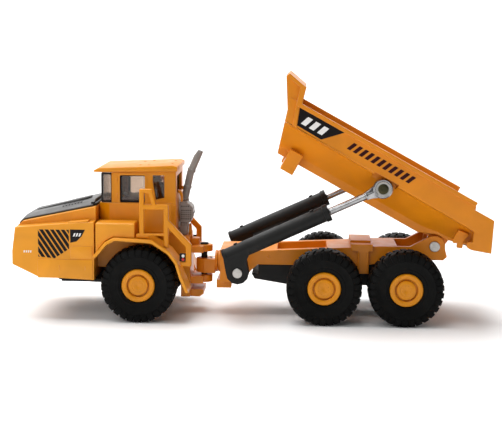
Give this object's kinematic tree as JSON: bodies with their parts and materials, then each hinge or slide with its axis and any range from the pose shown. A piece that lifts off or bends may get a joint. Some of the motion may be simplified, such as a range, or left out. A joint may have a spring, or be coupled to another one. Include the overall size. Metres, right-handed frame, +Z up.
{
  "type": "toy dump truck",
  "caption": "Toy articulated dump truck with a raised tipping bed on lift cylinders, a steering and rolling hitch, and free-turning wheels.",
  "frame": {"origin": "on the ground at the middle of the whole toy's outline, with the bed raised as stored", "axes": "+X towards the tail, +Y towards the truck's right side, +Z up"},
  "size_m": [0.133, 0.0392, 0.0691],
  "materials": {
    "cast_orange": "satin orange paint over die-cast zinc",
    "plastic_yellow": "moulded yellow-orange plastic, semi-gloss",
    "plastic_black": "satin black moulding",
    "plastic_grey": "satin dark grey moulding",
    "steel": "plain steel",
    "rod_chrome": "plated",
    "pin_olive": "dull brass",
    "tyre_black": "matte moulded tyre",
    "glass_smoke": "smoked clear plastic",
    "interior_brown": "dark moulding"
  },
  "bodies": {
    "rear_chassis": {"rear_frame": "cast_orange", "bogie_bridge": "cast_orange", "rear_underbody": "plastic_black", "rear_base_screws": "steel", "bed_hinge_pin": "steel", "lift_base_pin": "steel"},
    "bed": {"dump_bed": "cast_orange", "left_rod_pin": "pin_olive", "right_rod_pin": "pin_olive"},
    "left_barrel_body": {"left_barrel": "plastic_black"},
    "right_barrel_body": {"right_barrel": "plastic_black"},
    "left_rod_body": {"left_rod": "rod_chrome"},
    "right_rod_body": {"right_rod": "rod_chrome"},
    "hitch": {"hitch_tongue": "cast_orange", "roll_pin": "steel"},
    "front_unit": {"hitch_pin": "plastic_black", "front_frame": "cast_orange", "front_base": "plastic_black", "front_base_screws": "steel", "front_body": "cast_orange", "hood_panel": "plastic_grey", "left_battery_box": "cast_orange", "right_battery_box": "cast_orange", "cab_body": "plastic_yellow", "cab_roof": "plastic_yellow", "cab_glazing": "glass_smoke", "driver_seat": "interior_brown", "dashboard": "interior_brown", "steering_wheel": "interior_brown", "left_rail": "plastic_yellow", "right_rail": "plastic_yellow", "muffler": "plastic_grey", "exhaust_stack": "plastic_grey", "rear_grab_loop": "plastic_yellow"},
    "front_axle_set": {"front_axle": "steel", "front_left_rim": "plastic_yellow", "front_left_tyre": "tyre_black", "front_right_rim": "plastic_yellow", "front_right_tyre": "tyre_black"},
    "mid_axle_set": {"mid_axle": "steel", "mid_left_rim": "plastic_yellow", "mid_left_tyre": "tyre_black", "mid_right_rim": "plastic_yellow", "mid_right_tyre": "tyre_black"},
    "rear_axle_set": {"rear_axle": "steel", "rear_left_rim": "plastic_yellow", "rear_left_tyre": "tyre_black", "rear_right_rim": "plastic_yellow", "rear_right_tyre": "tyre_black"}
  },
  "joints": [
    {"name": "bed_tip", "type": "hinge", "parent": "rear_chassis", "child": "bed", "pos_m": [0.05165, 0, 0.02095], "axis": [0, 1, 0], "range_deg": [-28.66, 6.34]},
    {"name": "left_barrel_swing", "type": "hinge", "parent": "rear_chassis", "child": "left_barrel_body", "pos_m": [-0.00312, -0.0165, 0.01435], "axis": [0, 1, 0], "range_deg": [-2, 8.3]},
    {"name": "left_rod_slide", "type": "slide", "parent": "left_barrel_body", "child": "left_rod_body", "axis": [0.9092, 0, 0.4163], "range_m": [-0.0104, 0.0024]},
    {"name": "right_barrel_swing", "type": "hinge", "parent": "rear_chassis", "child": "right_barrel_body", "pos_m": [-0.00312, 0.0165, 0.01435], "axis": [0, 1, 0], "range_deg": [-2, 8.3]},
    {"name": "right_rod_slide", "type": "slide", "parent": "right_barrel_body", "child": "right_rod_body", "axis": [0.9092, 0, 0.4163], "range_m": [-0.0104, 0.0024]},
    {"name": "hitch_roll", "type": "hinge", "parent": "rear_chassis", "child": "hitch", "pos_m": [-0.0096, 0, 0.0145], "axis": [1, 0, 0], "range_deg": [-12, 12]},
    {"name": "steering", "type": "hinge", "parent": "hitch", "child": "front_unit", "pos_m": [-0.01365, 0, 0.0145], "axis": [0, 0, 1], "range_deg": [-24, 24]},
    {"name": "front_axle_spin", "type": "hinge", "parent": "front_unit", "child": "front_axle_set", "pos_m": [-0.03045, 0, 0.01044], "axis": [0, 1, 0], "continuous": true},
    {"name": "mid_axle_spin", "type": "hinge", "parent": "rear_chassis", "child": "mid_axle_set", "pos_m": [0.02075, 0, 0.01044], "axis": [0, 1, 0], "continuous": true},
    {"name": "rear_axle_spin", "type": "hinge", "parent": "rear_chassis", "child": "rear_axle_set", "pos_m": [0.04319, 0, 0.01044], "axis": [0, 1, 0], "continuous": true}
  ],
  "couplings": [
    {"joint": "left_barrel_swing", "follows": "bed_tip", "ratio": -0.2844},
    {"joint": "left_rod_slide", "follows": "bed_tip", "m_per_rad": 0.02063},
    {"joint": "right_barrel_swing", "follows": "bed_tip", "ratio": -0.2844},
    {"joint": "right_rod_slide", "follows": "bed_tip", "m_per_rad": 0.02063}
  ]
}
